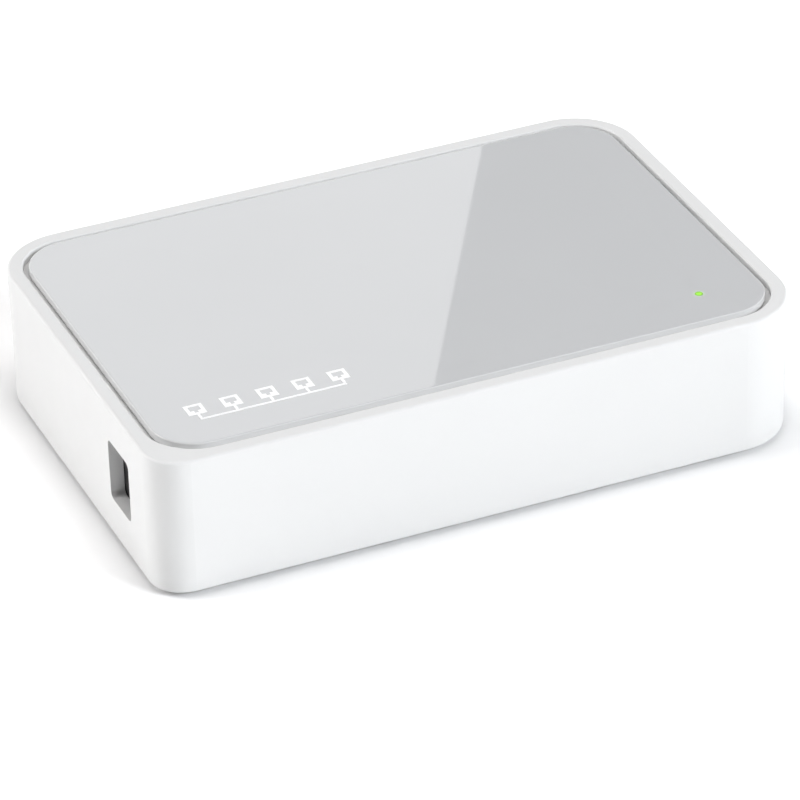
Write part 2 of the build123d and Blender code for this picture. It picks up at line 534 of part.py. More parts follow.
def crystal_can():
    """The timing crystal's metal can on its flange, with two leads."""
    flange = Pos(0, 0, 0.1) * SlotOverall(CRYSTAL_LENGTH, CRYSTAL_DEPTH)
    can = extrude(flange, amount=0.5)
    rise = Pos(0, 0, 0.6) * SlotOverall(CRYSTAL_LENGTH - 0.9, CRYSTAL_DEPTH - 0.9)
    can += extrude(rise, amount=CRYSTAL_HEIGHT - 0.6)
    can = fillet(can.edges().group_by(Axis.Z)[-1], 0.4)
    span = (BOARD_BOTTOM - SOLDER_DROP - BOARD_TOP, 0.1)
    can += [rod(side * CRYSTAL_LENGTH * 0.22, 0, 0.22, span) for side in (-1, 1)]
    return Pos(CRYSTAL_X, CRYSTAL_Y, BOARD_TOP) * can


def capacitor(x, y, radius, height):
    """An electrolytic can with its crimped neck and scored top."""
    can = rod(x, y, radius, (BOARD_TOP + 0.1, BOARD_TOP + height))
    can = fillet(can.edges().group_by(Axis.Z)[-1], 0.5)
    neck = rod(x, y, radius + 1, around(BOARD_TOP + 1.6, 0.7)) - rod(x, y, radius - 0.3, around(BOARD_TOP + 1.6, 0.7))
    can -= neck
    top = BOARD_TOP + height
    can -= block(around(x, radius * 1.4), around(y, 0.2), (top - 0.15, top))
    return can - block(around(x, 0.2), around(y, radius * 1.4), (top - 0.15, top))


def capacitor_leads():
    """Two leads under each electrolytic can."""
    half = CAPACITOR_LEAD_SPACING / 2
    span = (BOARD_BOTTOM - SOLDER_DROP, BOARD_TOP + 0.1)
    return group([rod(x + side * half, y, CAPACITOR_LEAD_RADIUS, span)
                  for x, y, radius, height in CAPACITORS.values() for side in (-1, 1)])


def choke_core():
    """The power choke's ferrite drum."""
    low, high = BOARD_TOP, BOARD_TOP + CHOKE_HEIGHT
    core = rod(CHOKE_X, CHOKE_Y, CHOKE_RADIUS, (low, low + CHOKE_FLANGE))
    core += rod(CHOKE_X, CHOKE_Y, CHOKE_RADIUS, (high - CHOKE_FLANGE, high))
    return core + rod(CHOKE_X, CHOKE_Y, CHOKE_HUB_RADIUS, (low, high))


def choke_winding():
    """The copper wound on the drum, as five ridged layers of wire."""
    low, high = BOARD_TOP + CHOKE_FLANGE, BOARD_TOP + CHOKE_HEIGHT - CHOKE_FLANGE
    turns = 6
    pitch = (high - low) / turns
    outer = CHOKE_RADIUS - 0.5
    coil = rod(CHOKE_X, CHOKE_Y, outer - pitch / 2, (low, high))
    for number in range(turns):
        coil += Pos(CHOKE_X, CHOKE_Y, low + (number + 0.5) * pitch) * Torus(outer - pitch / 2, pitch / 2)
    return coil - rod(CHOKE_X, CHOKE_Y, CHOKE_HUB_RADIUS, (low, high))


def regulator_chip():
    """The step-down regulator's package."""
    size = (REGULATOR_LENGTH, REGULATOR_DEPTH, REGULATOR_HEIGHT)
    return Pos(REGULATOR_X, REGULATOR_Y, BOARD_TOP) * package(*size)


def regulator_leads():
    """Four leads on each long side of the regulator."""
    lead = bent_lead(STANDOFF + (REGULATOR_HEIGHT - STANDOFF) / 2, 1.0, 0.42)
    side = [Pos(0, REGULATOR_DEPTH / 2, 0) * one for one in lead_row(lead, REGULATOR_LEADS, 1.27)]
    place = Pos(REGULATOR_X, REGULATOR_Y, BOARD_TOP)
    return group([place * Rot(0, 0, turn) * one for turn in (0, 180) for one in side])


def input_diode():
    """The reverse-polarity diode's package."""
    return Pos(DIODE_X, DIODE_Y, BOARD_TOP) * package(4.4, 2.6, 2.2)


def input_fuse():
    """The resettable fuse, a flat chip with metal ends."""
    fuse = block(around(FUSE_X, 4.5), around(FUSE_Y, 3.2), (BOARD_TOP, BOARD_TOP + 0.9))
    return fillet(fuse.edges().filter_by(Axis.Z), 0.2)


def power_lamp():
    """The green light on the board below the light guide."""
    lamp = block(around(LIGHT_X, 3.2), around(LIGHT_Y, 2.7), (BOARD_TOP, BOARD_TOP + 1.2))
    return lamp + Pos(LIGHT_X, LIGHT_Y, BOARD_TOP + 1.2 + 0.3) * Cone(1.1, 0.8, 0.6)


def chip_part(x, y, turn):
    """A surface-mounted chip resistor or capacitor."""
    body = block(around(0, CHIP_PART_LENGTH), around(0, CHIP_PART_WIDTH), (0, CHIP_PART_HEIGHT))
    return Pos(x, y, BOARD_TOP) * Rot(0, 0, turn) * body


def chip_resistors():
    """Four line resistors in front of each transformer package."""
    row = COIL_PACK_Y - COIL_PACK_DEPTH / 2 - 3.2
    return group([chip_part(x + offset, row, 90) for x in port_centres() for offset in (-4.5, -1.5, 1.5, 4.5)])


def chip_capacitors():
    """Decoupling capacitors round the controller and the regulator."""
    ring = [(CHIP_X + side * 8.3, CHIP_Y + offset, 90) for side in (-1, 1) for offset in (-3, 3)]
    front = [(CHIP_X + offset, CHIP_Y - 8.2, 0) for offset in (-6, -2, 2, 6)]
    supply = [(REGULATOR_X + 6, REGULATOR_Y + offset, 0) for offset in (-2, 0, 2)]
    return group([chip_part(*place) for place in ring + front + supply])


def parts():
    """Every node's name and solid."""
    nodes = {
        "top_cover": top_cover(),
        "top_panel": top_panel(),
        "panel_adhesive": panel_adhesive(),
        "light_guide": light_guide(),
        "base_cover": base_cover(),
        "rating_label": rating_label(),
        "circuit_board": circuit_board(),
        "board_screws": board_screws(),
        "port_housing": port_housing(),
        "port_terminals": port_terminals(),
        "port_lamps": port_lamps(),
        "inlet_body": inlet_body(),
        "inlet_pin": inlet_pin(),
        "inlet_lug": inlet_lug(),
        "inlet_spring": inlet_spring(),
        "switch_chip": switch_chip(),
        "switch_chip_leads": switch_chip_leads(),
        "coil_pack_leads": coil_pack_leads(),
        "crystal_can": crystal_can(),
        "capacitor_leads": capacitor_leads(),
        "choke_core": choke_core(),
        "choke_winding": choke_winding(),
        "regulator_chip": regulator_chip(),
        "regulator_leads": regulator_leads(),
        "input_diode": input_diode(),
        "input_fuse": input_fuse(),
        "power_lamp": power_lamp(),
        "chip_resistors": chip_resistors(),
        "chip_capacitors": chip_capacitors(),
    }
    for name, (x, y) in foot_places().items():
        nodes[name] = foot(x, y)
    for name, size in CAPACITORS.items():
        nodes[name] = capacitor(*size)
    for number, x in enumerate(port_centres(), start=1):
        nodes[f"contact_carrier_{number}"] = contact_carrier(x)
        nodes[f"port_contacts_{number}"] = port_contacts(x)
        nodes[f"coil_pack_{number}"] = coil_pack(x)
    return nodes


os.makedirs("parts", exist_ok=True)
for node, shape in parts().items():
    export_step(shape, f"parts/{node}.step")
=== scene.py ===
import math

import bpy
from mathutils import Matrix, Quaternion, Vector


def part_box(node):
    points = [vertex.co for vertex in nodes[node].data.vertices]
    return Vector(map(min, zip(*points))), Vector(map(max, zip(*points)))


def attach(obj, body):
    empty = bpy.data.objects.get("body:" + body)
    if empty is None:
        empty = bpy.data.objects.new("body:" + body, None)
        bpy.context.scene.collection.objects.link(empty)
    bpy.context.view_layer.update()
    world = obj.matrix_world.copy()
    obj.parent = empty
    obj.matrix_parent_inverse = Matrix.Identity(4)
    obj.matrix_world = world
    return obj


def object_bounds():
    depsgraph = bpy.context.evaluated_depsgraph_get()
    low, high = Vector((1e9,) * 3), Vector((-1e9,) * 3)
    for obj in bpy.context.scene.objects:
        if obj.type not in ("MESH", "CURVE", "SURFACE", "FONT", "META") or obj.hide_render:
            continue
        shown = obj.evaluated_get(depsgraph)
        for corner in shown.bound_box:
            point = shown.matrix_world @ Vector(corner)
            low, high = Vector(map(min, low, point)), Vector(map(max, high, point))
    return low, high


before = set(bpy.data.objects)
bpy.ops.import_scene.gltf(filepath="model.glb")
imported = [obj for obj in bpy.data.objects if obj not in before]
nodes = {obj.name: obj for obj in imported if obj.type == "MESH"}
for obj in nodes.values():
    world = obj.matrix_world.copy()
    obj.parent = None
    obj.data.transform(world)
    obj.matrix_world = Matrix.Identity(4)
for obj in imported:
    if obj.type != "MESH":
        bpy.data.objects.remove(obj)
cad_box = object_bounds()
MM = 0.001
PORT_COUNT = 5

# ---- Stage ----
CAMERA_AZIMUTH = math.radians(-22.77)
CAMERA_ELEVATION = math.radians(31.34)
CAMERA_ROLL = math.radians(-1.52)
CAMERA_DISTANCE = 0.7452
CAMERA_AIM = Vector((0.5 * MM, 0.1 * MM, 1.2 * MM))
CAMERA_LENS = 221.45       # millimetres, on a 36 mm sensor
CAMERA_CLIP = (0.01, 50)
FLOOR_SIZE = 6.0
FLOOR_GAP = 0.02 * MM      # keeps the sheet just clear of the feet
FLOOR_COLOUR = (0.93, 0.93, 0.93)
FLOOR_ROUGHNESS = 0.9
# The sheet has a painted glow, left out in a strip round the case so that the shadow shows there, and
# turns fully white far away.
FLOOR_GLOW = 0.2
FLOOR_STRIP = (0.5 * MM, 11.0 * MM)
FLOOR_SWEEP = (0.35, 1.2)
WORLD_TINT = (0.985, 0.99, 1.0)
WORLD_LOW = 2.95           # strength near the horizon
WORLD_HIGH = 0.07          # strength overhead
WORLD_TURN = (0.05, 0.6)   # upward share of a direction between which low turns to high
# Dark flags in the surround: azimuth in degrees, the share of light that each leaves, and the
# closeness to its direction at which the flag begins and is whole.
WORLD_FLAGS = {
    "front_left": (-48, 0.0, 0.35, 0.8),
    "right": (80, 0.1, 0.1, 0.7),
    "behind": (165, 0.5, 0.5, 0.95),
}
# Softboxes: azimuth and elevation in degrees, distance and size in metres, power in watts, tint.
SOFTBOXES = {
    "softbox_overhead": (0, 88, 1.6, (0.6, 0.6), 9.9, (1.0, 0.985, 0.98)),
    "softbox_front_right": (38, 30, 1.6, (0.6, 0.5), 20.0, (0.935, 0.965, 1.0)),
    "softbox_back_left": (-118, 32, 1.6, (0.6, 0.5), 12.0, (1.0, 0.99, 0.99)),
}
# These softboxes light the object without a mirror image in it, so that the panel shows no glare.
UNMIRRORED = {"softbox_front_right", "softbox_overhead"}
SHEEN_DISTANCE = 1.4       # how far beyond the panel the tall reflected card stands
SHEEN_LENGTH, SHEEN_WIDTH = 0.9, 0.6
SHEEN_POWER = 2.7
# The straight edge of the card's reflection crosses the panel between these two points.
SHEEN_BACK = Vector((28.55 * MM, 31.1 * MM, 0))
SHEEN_FRONT = Vector((-7.4 * MM, -31.5 * MM, 0))


def camera_back():
    """The direction from the object to the camera."""
    flat = math.cos(CAMERA_ELEVATION)
    return Vector((math.sin(CAMERA_AZIMUTH) * flat, -math.cos(CAMERA_AZIMUTH) * flat,
                   math.sin(CAMERA_ELEVATION)))


def add_camera():
    """A long lens, aimed at the middle of the case and rolled a little."""
    data = bpy.data.cameras.new("camera")
    data.lens = CAMERA_LENS
    data.clip_start, data.clip_end = CAMERA_CLIP
    camera = bpy.data.objects.new("camera", data)
    back = camera_back()
    camera.location = CAMERA_AIM + back * CAMERA_DISTANCE
    camera.rotation_mode = "QUATERNION"
    camera.rotation_quaternion = Quaternion(back, CAMERA_ROLL) @ back.to_track_quat("Z", "Y")
    bpy.context.scene.collection.objects.link(camera)
    bpy.context.scene.camera = camera
    return camera


def add_floor():
    """A pale sheet that catches only the soft shadow close to the case, with a painted glow elsewhere.
    """
    bpy.ops.mesh.primitive_plane_add(size=FLOOR_SIZE, location=(0, 0, -FLOOR_GAP))
    floor = bpy.context.object
    floor.name = "floor"
    material, tree, shader = new_material("pale_floor")
    shader.inputs["Base Color"].default_value = (*FLOOR_COLOUR, 1)
    shader.inputs["Roughness"].default_value = FLOOR_ROUGHNESS
    shader.inputs["Specular IOR Level"].default_value = 0.0
    shader.inputs["Emission Color"].default_value = (1, 1, 1, 1)
    # Painted glow: none next to the case, rising across the strip.
    near = spread(tree, distance_outside(tree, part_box("top_cover")[1]), 0.0, FLOOR_GLOW, *FLOOR_STRIP)
    far = spread(tree, distance_from(tree, 0, 0), 0.0, 1.0 - FLOOR_GLOW, *FLOOR_SWEEP)
    tree.links.new(maths(tree, "ADD", near, far), shader.inputs["Emission Strength"])
    floor.data.materials.append(material)


def add_area_light(name, location, facing, size, power, tint):
    """A rectangular light at a place, shining along a direction."""
    data = bpy.data.lights.new(name, "AREA")
    data.shape = "RECTANGLE"
    data.size, data.size_y = size
    data.energy = power
    data.color = tint
    light = bpy.data.objects.new(name, data)
    light.location = location
    light.rotation_mode = "QUATERNION"
    light.rotation_quaternion = (-facing).to_track_quat("Z", "Y")
    light.visible_camera = False
    bpy.context.scene.collection.objects.link(light)
    return light


def add_softboxes():
    """Soft rectangular lights, each aimed at the origin."""
    for name, (azimuth, elevation, distance, size, power, tint) in SOFTBOXES.items():
        turn, rise = math.radians(azimuth), math.radians(elevation)
        flat = math.cos(rise)
        towards = Vector((math.sin(turn) * flat, -math.cos(turn) * flat, math.sin(rise)))
        light = add_area_light(name, towards * distance, -towards, size, power, tint)
        light.visible_glossy = name not in UNMIRRORED


def add_sheen_card(camera):
    """A bright card beyond the panel, whose mirrored edge crosses the panel as a straight line."""
    top = cad_box[1].z
    mirrored = camera.location.copy()
    mirrored.z = 2 * top - mirrored.z
    points = [point + Vector((0, 0, top)) for point in (SHEEN_BACK, SHEEN_FRONT)]
    ends = [point + (point - mirrored).normalized() * SHEEN_DISTANCE for point in points]
    along = (ends[0] - ends[1]).normalized()
    middle = (ends[0] + ends[1]) / 2
    facing = (points[0] + points[1]) / 2 - middle
    facing = (facing - facing.project(along)).normalized()
    away = along.cross(facing).normalized()
    if away.x > 0:
        away = -away
    card = add_area_light("sheen_card", middle + away * SHEEN_WIDTH / 2, facing,
                          (SHEEN_WIDTH, SHEEN_LENGTH), SHEEN_POWER, (1, 1, 1))
    axes = Matrix((away, away.cross(facing), -facing)).transposed()
    card.rotation_quaternion = axes.to_quaternion()
    lit = bpy.data.collections.new("lit_by_sheen_card")
    lit.objects.link(nodes["top_panel"])
    card.light_linking.receiver_collection = lit


def add_world():
    """A pale surround, brighter near the horizon than overhead, behind dark flags."""
    world = bpy.data.worlds.new("studio")
    world.use_nodes = True
    tree = world.node_tree
    direction = tree.nodes.new("ShaderNodeTexCoord").outputs["Generated"]
    background = tree.nodes["Background"]
    background.inputs["Color"].default_value = (*WORLD_TINT, 1)
    rise = axis_value(tree, "Z", direction)
    strength = spread(tree, rise, WORLD_LOW, WORLD_HIGH, *WORLD_TURN)
    for azimuth, left_over, begins, whole in WORLD_FLAGS.values():
        turn = math.radians(azimuth)
        closeness = add_node(tree, "ShaderNodeVectorMath", operation="DOT_PRODUCT")
        tree.links.new(direction, closeness.inputs[0])
        closeness.inputs[1].default_value = (math.sin(turn), -math.cos(turn), 0)
        flag = spread(tree, closeness.outputs["Value"], 1.0, left_over, begins, whole)
        strength = maths(tree, "MULTIPLY", strength, flag)
    seen = add_node(tree, "ShaderNodeLightPath").outputs["Is Camera Ray"]
    strength = maths(tree, "MAXIMUM", strength, seen)
    tree.links.new(strength, background.inputs["Strength"])
    bpy.context.scene.world = world


# ---- Material building ----
WAVE_LENGTH = math.pi / 10      # a wave pattern at scale 1 repeats after this distance
GLOSS_SWING = 0.12              # share by which a roughness wanders


def new_material(name):
    """A node material, with its tree and its shader."""
    material = bpy.data.materials.new(name)
    material.use_nodes = True
    return material, material.node_tree, material.node_tree.nodes["Principled BSDF"]


def add_node(tree, kind, **settings):
    """A new node of a kind, with its settings."""
    node = tree.nodes.new(kind)
    for key, value in settings.items():
        setattr(node, key, value)
    return node


def place(tree):
    """The Object coordinates that every pattern reads."""
    found = tree.nodes.get("Texture Coordinate") or tree.nodes.new("ShaderNodeTexCoord")
    return found.outputs["Object"]


def noise(tree, size, detail, vector=None):
    """Noise whose features are about a size in millimetres."""
    node = add_node(tree, "ShaderNodeTexNoise")
    node.inputs["Scale"].default_value = 1 / (size * MM)
    node.inputs["Detail"].default_value = detail
    tree.links.new(vector or place(tree), node.inputs["Vector"])
    return node.outputs["Fac"]


def spread(tree, value, low, high, start=0.3, end=0.7):
    """Maps a pattern onto a range of numbers."""
    node = add_node(tree, "ShaderNodeMapRange")
    for key, number in (("From Min", start), ("From Max", end), ("To Min", low), ("To Max", high)):
        node.inputs[key].default_value = number
    tree.links.new(value, node.inputs["Value"])
    return node.outputs["Result"]


def blend_colours(tree, share, first, second):
    """Mixes two colours, or the outputs that carry them, by a share."""
    node = add_node(tree, "ShaderNodeMix", data_type="RGBA")
    tree.links.new(share, node.inputs["Factor"])
    for key, colour in (("A", first), ("B", second)):
        socket = [s for s in node.inputs if s.name == key and s.type == "RGBA"][0]
        if isinstance(colour, tuple):
            socket.default_value = (*colour, 1)
        else:
            tree.links.new(colour, socket)
    return [s for s in node.outputs if s.type == "RGBA"][0]


def maths(tree, operation, first, second=None):
    """One step of arithmetic on outputs or numbers."""
    node = add_node(tree, "ShaderNodeMath", operation=operation)
    for socket, value in zip(node.inputs, (first, second)):
        if value is None:
            continue
        if isinstance(value, (int, float)):
            socket.default_value = value
        else:
            tree.links.new(value, socket)
    return node.outputs["Value"]


def bump(tree, shader, height, depth):
    """Raises a pattern by a depth in millimetres."""
    node = add_node(tree, "ShaderNodeBump")
    node.inputs["Distance"].default_value = depth * MM
    node.inputs["Strength"].default_value = 1.0
    tree.links.new(height, node.inputs["Height"])
    tree.links.new(node.outputs["Normal"], shader.inputs["Normal"])


def axis_value(tree, axis, vector=None):
    """One coordinate, in metres."""
    split = add_node(tree, "ShaderNodeSeparateXYZ")
    tree.links.new(vector or place(tree), split.inputs["Vector"])
    return split.outputs[axis]


def facing_up(tree):
    """The upright share of the surface's own normal."""
    geometry = add_node(tree, "ShaderNodeNewGeometry")
    return axis_value(tree, "Z", geometry.outputs["True Normal"])


def distance_from(tree, x, y):
    """How far a point is from an upright line, in metres."""
    centre = add_node(tree, "ShaderNodeMapping")
    centre.inputs["Location"].default_value = (-x, -y, 0)
    centre.inputs["Scale"].default_value = (1, 1, 0)
    tree.links.new(place(tree), centre.inputs["Vector"])
    length = add_node(tree, "ShaderNodeVectorMath", operation="LENGTH")
    tree.links.new(centre.outputs["Vector"], length.inputs[0])
    return length.outputs["Value"]


def distance_outside(tree, corner):
    """How far a point is outside an upright box round the origin, in metres."""
    fold = add_node(tree, "ShaderNodeVectorMath", operation="ABSOLUTE")
    tree.links.new(place(tree), fold.inputs[0])
    beyond = add_node(tree, "ShaderNodeVectorMath", operation="SUBTRACT")
    tree.links.new(fold.outputs["Vector"], beyond.inputs[0])
    beyond.inputs[1].default_value = (corner.x, corner.y, 1.0)
    outside = add_node(tree, "ShaderNodeVectorMath", operation="MAXIMUM")
    tree.links.new(beyond.outputs["Vector"], outside.inputs[0])
    length = add_node(tree, "ShaderNodeVectorMath", operation="LENGTH")
    tree.links.new(outside.outputs["Vector"], length.inputs[0])
    return length.outputs["Value"]


def ripple(tree, axis, pitch, **settings):
    """Bands across an axis, one each pitch in millimetres."""
    wave = add_node(tree, "ShaderNodeTexWave", bands_direction=axis, **settings)
    wave.inputs["Scale"].default_value = WAVE_LENGTH / (pitch * MM)
    tree.links.new(place(tree), wave.inputs["Vector"])
    return wave.outputs["Fac"]


def brushed(tree, stretch, size, detail):
    """Noise drawn out along X."""
    mapping = add_node(tree, "ShaderNodeMapping")
    mapping.inputs["Scale"].default_value = (stretch, 1, 1)
    tree.links.new(place(tree), mapping.inputs["Vector"])
    return noise(tree, size, detail, mapping.outputs["Vector"])


def uneven_gloss(tree, shader, roughness, size):
    """Roughness that wanders a little to both sides of a value."""
    low, high = roughness * (1 - GLOSS_SWING), roughness * (1 + GLOSS_SWING)
    gloss = spread(tree, noise(tree, size, detail=4.0), low, high)
    tree.links.new(gloss, shader.inputs["Roughness"])


def mottled(name, colour, cloudiness, roughness, patch, grain=None, depth=None, metallic=0.0):
    """Cloudy colour and uneven gloss in patches, and a raised grain. Sizes are in millimetres."""
    material, tree, shader = new_material(name)
    darker = tuple(channel * (1 - cloudiness) for channel in colour)
    lighter = tuple(min(1.0, channel * (1 + cloudiness)) for channel in colour)
    cloud = spread(tree, noise(tree, patch, detail=3.0), 0, 1)
    tree.links.new(blend_colours(tree, cloud, darker, lighter), shader.inputs["Base Color"])
    uneven_gloss(tree, shader, roughness, patch / 4)
    if grain:
        bump(tree, shader, noise(tree, grain, detail=2.0), depth)
    shader.inputs["Metallic"].default_value = metallic
    return material, tree, shader


# ---- Finishes ----
FLAT = 0.9                      # upright share of the normal, above which the panel's face is its top
PRINT_GREYS = ((0.503, 0.509, 0.515), (0.511, 0.517, 0.523))
# Painted highlight: the cut edge faces of the sheet get this lighter colour.
PANEL_EDGE_PAINTED_HIGHLIGHT = (0.66, 0.66, 0.66)
PANEL_EDGE_PAINTED_GLOW = 0.1           # painted glow on the lower part of the cut edge, standing in for light in the gap round the panel
# Depths below the top at which the painted glow on the edge is gone, and at which it is whole.
PANEL_EDGE_DARK, PANEL_EDGE_LIT = 0.05 * MM, 0.45 * MM
PANEL_ROUGHNESS = (0.012, 0.022)
LIGHT_GREEN = (0.34, 1.0, 0.02)
LIGHT_CORE = 0.3 * MM
LIGHT_TIP = 0.6 * MM
LIGHT_HALO = 1.5 * MM
LIGHT_GLOW = (0.50, 0.15)       # in the core of the guide, and at its rim
HALO_GLOW = 0.14                # in the sheet, where it meets the guide
HALO_FALL = 2.5                 # the higher, the sooner the halo fades

BOARD_FLAT = 0.5                # upright share of the normal, below which the board's face is cut
MASK_GREENS = ((0.010, 0.105, 0.035), (0.013, 0.125, 0.043))
MASK_OVER_COPPER = (0.030, 0.215, 0.075)
GLASS_EPOXY = (0.36, 0.33, 0.17)
MASK_ROUGHNESS, CUT_ROUGHNESS = 0.24, 0.75
TRACK_PITCHES = {"X": 1.9, "Y": 2.3}
TRACK_EDGE = 0.80               # height of the wave above which there is copper
TRACK_FIELD = 9.0               # millimetres between changes of direction

SLEEVE_BLUES = ((0.012, 0.022, 0.075), (0.016, 0.028, 0.090))
SLEEVE_STRIPE = (0.55, 0.58, 0.62)
SLEEVE_ROUGHNESS, CAN_ROUGHNESS = 0.22, 0.36
CAN_ALUMINIUM = (0.72, 0.73, 0.74)
STRIPE_START = 0.86             # share of the radius
CAN_TOP = 0.82                  # share of the radius that the sleeve leaves bare
CAN_TOP_DEPTH = 0.3 * MM


def white_abs():
    """Satin white moulding with a fine spark-eroded grain."""
    material, tree, shader = mottled("white_abs", (0.735, 0.735, 0.73), cloudiness=0.006,
                                     roughness=0.36, patch=14.0, grain=0.18, depth=0.0022)
    shader.inputs["IOR"].default_value = 1.5
    return material


def panel_gloss():
    """Polished clear sheet, grey from its back print, with the power light's painted glow in it, and a
    painted highlight and a painted glow on its cut edges.
    """
    material, tree, shader = new_material("panel_gloss")
    light = light_centre()
    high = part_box("top_panel")[1]
    cloud = spread(tree, noise(tree, size=25.0, detail=2.0), 0, 1)
    print_colour = blend_colours(tree, cloud, *PRINT_GREYS)
    # The cut edge faces get the painted highlight colour, and a painted glow low down.
    edge = maths(tree, "LESS_THAN", facing_up(tree), FLAT)
    tree.links.new(blend_colours(tree, edge, print_colour, PANEL_EDGE_PAINTED_HIGHLIGHT), shader.inputs["Base Color"])
    radius = distance_from(tree, light.x, light.y)
    halo = maths(tree, "POWER", spread(tree, radius, 1.0, 0.0, LIGHT_TIP, LIGHT_HALO), HALO_FALL)
    # Painted glow on the cut edge: whole low down, gone near the top.
    lower = spread(tree, axis_value(tree, "Z"), 1.0, 0.0,
                   high.z - PANEL_EDGE_LIT, high.z - PANEL_EDGE_DARK)
    painted_edge_glow = maths(tree, "MULTIPLY", edge, lower)
    glow = maths(tree, "ADD", maths(tree, "MULTIPLY", halo, HALO_GLOW),
                 maths(tree, "MULTIPLY", painted_edge_glow, PANEL_EDGE_PAINTED_GLOW))
    glow_colour = blend_colours(tree, edge, LIGHT_GREEN, (1.0, 1.0, 1.0))
    tree.links.new(glow_colour, shader.inputs["Emission Color"])
    tree.links.new(glow, shader.inputs["Emission Strength"])
    dust = spread(tree, noise(tree, size=3.0, detail=5.0), *PANEL_ROUGHNESS)
    tree.links.new(dust, shader.inputs["Roughness"])
    shader.inputs["IOR"].default_value = 1.49
    return material


def lit_guide():
    """Clear rod that glows green in the middle of its tip."""
    material, tree, shader = mottled("lit_guide", (0.22, 0.42, 0.08), cloudiness=0.03,
                                     roughness=0.12, patch=6.0, grain=0.5, depth=0.001)
    light = light_centre()
    shader.inputs["Emission Color"].default_value = (*LIGHT_GREEN, 1)
    radius = distance_from(tree, light.x, light.y)
    glow = spread(tree, radius, *LIGHT_GLOW, LIGHT_CORE, LIGHT_TIP)
    tree.links.new(glow, shader.inputs["Emission Strength"])
    return material


def black_nylon():
    """Glass-filled nylon: near black, dry, with a fibrous grain."""
    return mottled("black_nylon", (0.048, 0.044, 0.045), cloudiness=0.12,
                   roughness=0.46, patch=3.0, grain=0.12, depth=0.0025)[0]


def carrier_nylon():
    """Smoother unfilled nylon, a little bluer."""
    return mottled("carrier_nylon", (0.035, 0.035, 0.038), cloudiness=0.1,
                   roughness=0.38, patch=3.0, grain=0.2, depth=0.0015)[0]


def soft_rubber():
    """Matte grey rubber with a dusty bloom."""
    return mottled("soft_rubber", (0.42, 0.42, 0.415), cloudiness=0.06,
                   roughness=0.78, patch=2.0, grain=0.22, depth=0.006)[0]


def gold_flash():
    """Gold over phosphor bronze, a little duller in patches."""
    return mottled("gold_flash", (0.90, 0.68, 0.30), cloudiness=0.05, roughness=0.38,
                   patch=1.2, grain=0.1, depth=0.0008, metallic=1.0)[0]


def nickel_plate():
    """Warm, fairly bright plating."""
    return mottled("nickel_plate", (0.66, 0.63, 0.57), cloudiness=0.05, roughness=0.24,
                   patch=1.5, grain=0.15, depth=0.0008, metallic=1.0)[0]


def tinned_metal():
    """Dull tin on stamped leads."""
    return mottled("tinned_metal", (0.68, 0.69, 0.70), cloudiness=0.06, roughness=0.34,
                   patch=1.0, grain=0.12, depth=0.0015, metallic=1.0)[0]


def zinc_plate():
    """Blue-white plating on small screws."""
    return mottled("zinc_plate", (0.62, 0.63, 0.62), cloudiness=0.08, roughness=0.33,
                   patch=1.5, grain=0.2, depth=0.002, metallic=1.0)[0]


def drawn_can():
    """Drawn metal can with fine lines along its length."""
    material, tree, shader = mottled("drawn_can", (0.66, 0.66, 0.65), cloudiness=0.04,
                                     roughness=0.26, patch=2.0, metallic=1.0)
    bump(tree, shader, brushed(tree, stretch=0.05, size=0.2, detail=1.0), depth=0.0005)
    return material


def chip_epoxy():
    """Moulded epoxy: charcoal, with a fine matte sparkle."""
    return mottled("chip_epoxy", (0.030, 0.030, 0.032), cloudiness=0.1,
                   roughness=0.55, patch=2.0, grain=0.09, depth=0.003)[0]


def ferrite():
    """Pressed and fired ferrite: dark, dull and slightly pitted."""
    return mottled("ferrite", (0.055, 0.053, 0.052), cloudiness=0.2,
                   roughness=0.6, patch=1.0, grain=0.25, depth=0.008)[0]


def enamelled_copper():
    """Copper wire under clear enamel, laid round the drum."""
    material, tree, shader = mottled("enamelled_copper", (0.66, 0.27, 0.10), cloudiness=0.1,
                                     roughness=0.26, patch=0.8, metallic=1.0)
    bump(tree, shader, ripple(tree, "Z", pitch=0.28), depth=0.02)
    shader.inputs["Coat Weight"].default_value = 0.4
    return material


def ceramic():
    """Tan fired body of the chip capacitors."""
    return mottled("ceramic", (0.42, 0.30, 0.19), cloudiness=0.08,
                   roughness=0.4, patch=0.6, grain=0.1, depth=0.001)[0]


def resistor_glaze():
    """Glossy black glaze of the chip resistors."""
    return mottled("resistor_glaze", (0.028, 0.028, 0.034), cloudiness=0.15,
                   roughness=0.2, patch=0.5, grain=0.2, depth=0.002)[0]


def fuse_coat():
    """Green polymer coat of the resettable fuse."""
    return mottled("fuse_coat", (0.06, 0.22, 0.11), cloudiness=0.12,
                   roughness=0.5, patch=0.8, grain=0.2, depth=0.004)[0]


def green_lens():
    """Unlit tinted lens, with fine upright ribs that spread its light."""
    material, tree, shader = new_material("green_lens")
    ribs = ripple(tree, "X", pitch=0.3)
    shade = blend_colours(tree, ribs, (0.07, 0.22, 0.06), (0.13, 0.37, 0.11))
    tree.links.new(shade, shader.inputs["Base Color"])
    uneven_gloss(tree, shader, roughness=0.12, size=0.25)
    bump(tree, shader, ribs, depth=0.04)
    shader.inputs["Coat Weight"].default_value = 0.3
    shader.inputs["Coat Roughness"].default_value = 0.08
    return material


def adhesive_film():
    """Yellowish double-sided film under the panel."""
    return mottled("adhesive_film", (0.62, 0.58, 0.50), cloudiness=0.05,
                   roughness=0.5, patch=4.0, grain=0.5, depth=0.004)[0]


def label_film():
    """Silvery matt film with a faint brushed direction."""
    material, tree, shader = mottled("label_film", (0.60, 0.61, 0.62), cloudiness=0.015,
                                     roughness=0.42, patch=8.0, metallic=0.35)
    bump(tree, shader, brushed(tree, stretch=0.03, size=0.15, detail=2.0), depth=0.0008)
    return material


